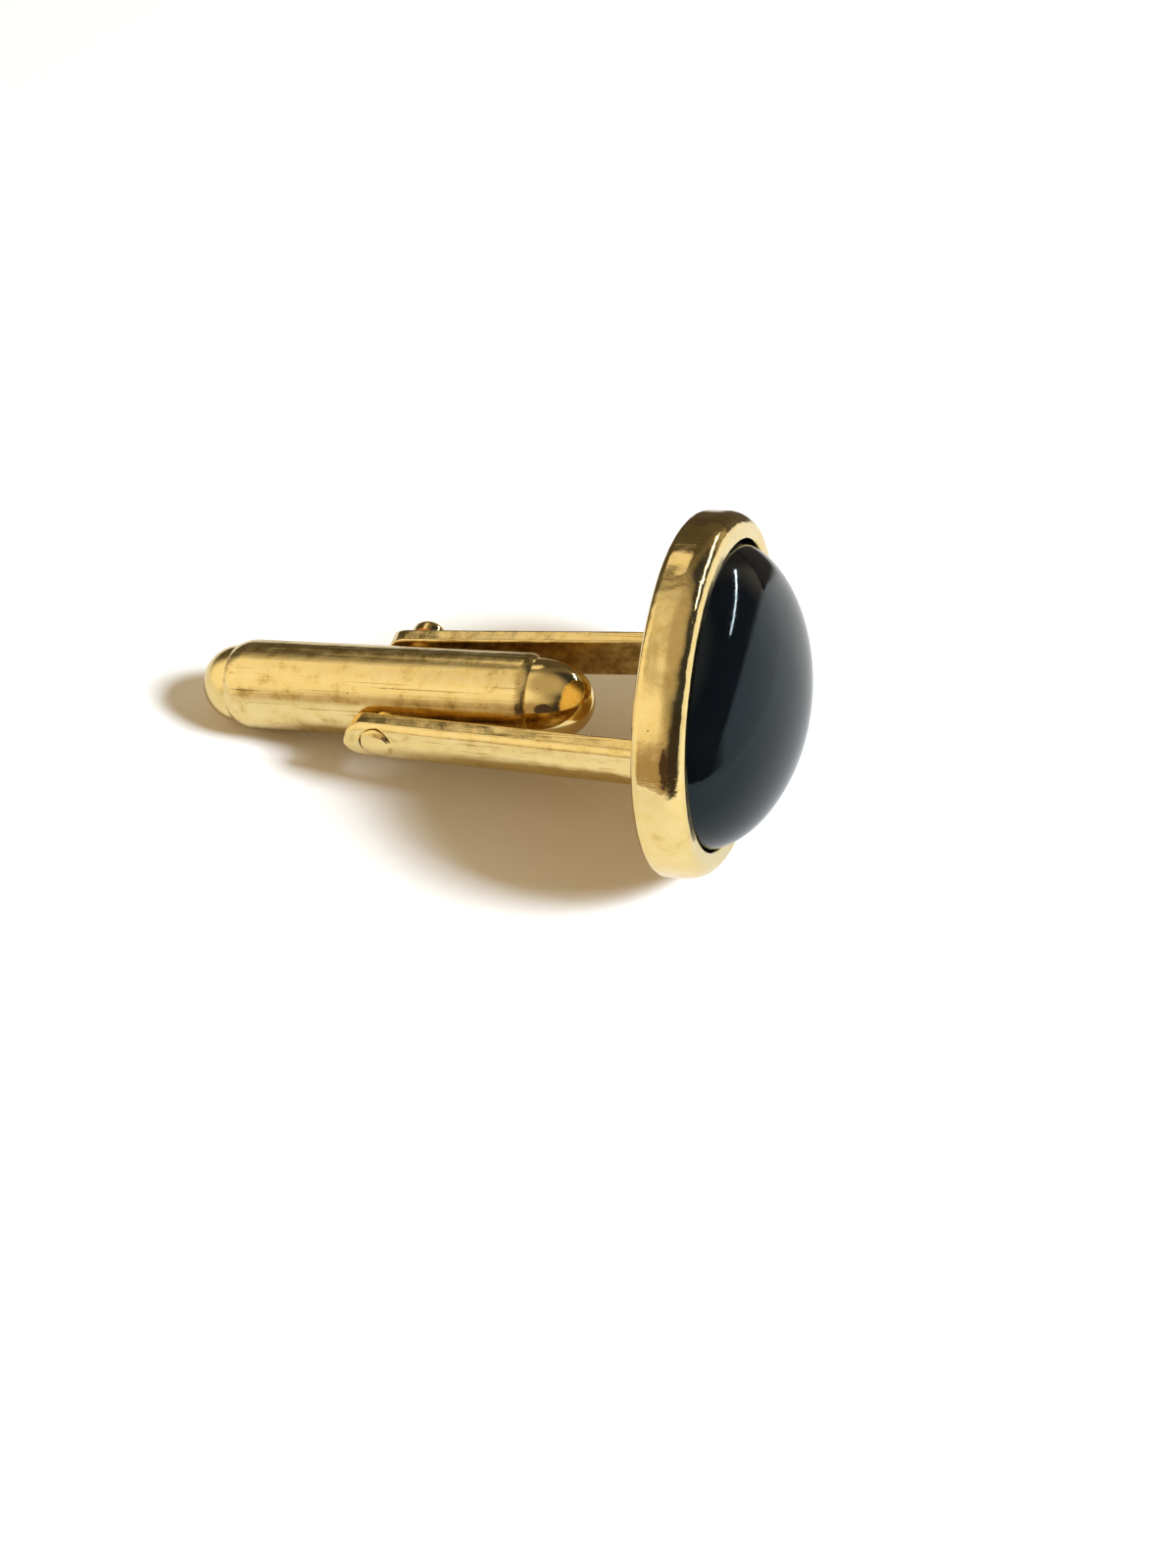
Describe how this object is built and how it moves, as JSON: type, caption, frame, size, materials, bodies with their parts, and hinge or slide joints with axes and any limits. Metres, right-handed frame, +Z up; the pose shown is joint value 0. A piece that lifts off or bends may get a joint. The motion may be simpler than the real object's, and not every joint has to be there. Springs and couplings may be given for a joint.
{
  "type": "cufflink",
  "caption": "Bullet-back cufflink: a domed oval stone in a deep bezel, two slim arms, and a round-ended bullet that swivels between them to lock behind a shirt cuff.",
  "frame": {"origin": "on the table, under the middle of the part's box as the part lies on its bullet nose and on the back edge of its head", "axes": "+X along the table from the bullet's nose to the head and stone, +Y across the post toward the far arm, +Z up. The post's axis rises 10.63 degrees from +X toward the head."},
  "size_m": [0.0324, 0.02, 0.0163],
  "materials": {
    "gold_plate": "polished",
    "onyx": "polished",
    "spring_steel": "satin",
    "cement": "matte"
  },
  "bodies": {
    "link": {"bezel": "gold_plate", "back_plate": "gold_plate", "stone": "onyx", "stone_cement": "cement", "near_arm": "gold_plate", "far_arm": "gold_plate", "pivot_pin": "gold_plate"},
    "bullet": {"barrel": "gold_plate", "nose_cap": "gold_plate", "tail_cap": "gold_plate", "detent_spring": "spring_steel"},
    "plunger": {"detent_plunger": "spring_steel"}
  },
  "joints": [
    {"name": "bullet_swivel", "type": "hinge", "parent": "link", "child": "bullet", "pos_m": [-0.00493, 0, 0.00394], "axis": [0, 1, 0], "continuous": true},
    {"name": "detent_travel", "type": "slide", "parent": "bullet", "child": "plunger", "axis": [0.9828, 0, 0.1844], "range_m": [0, 0.00014]}
  ]
}
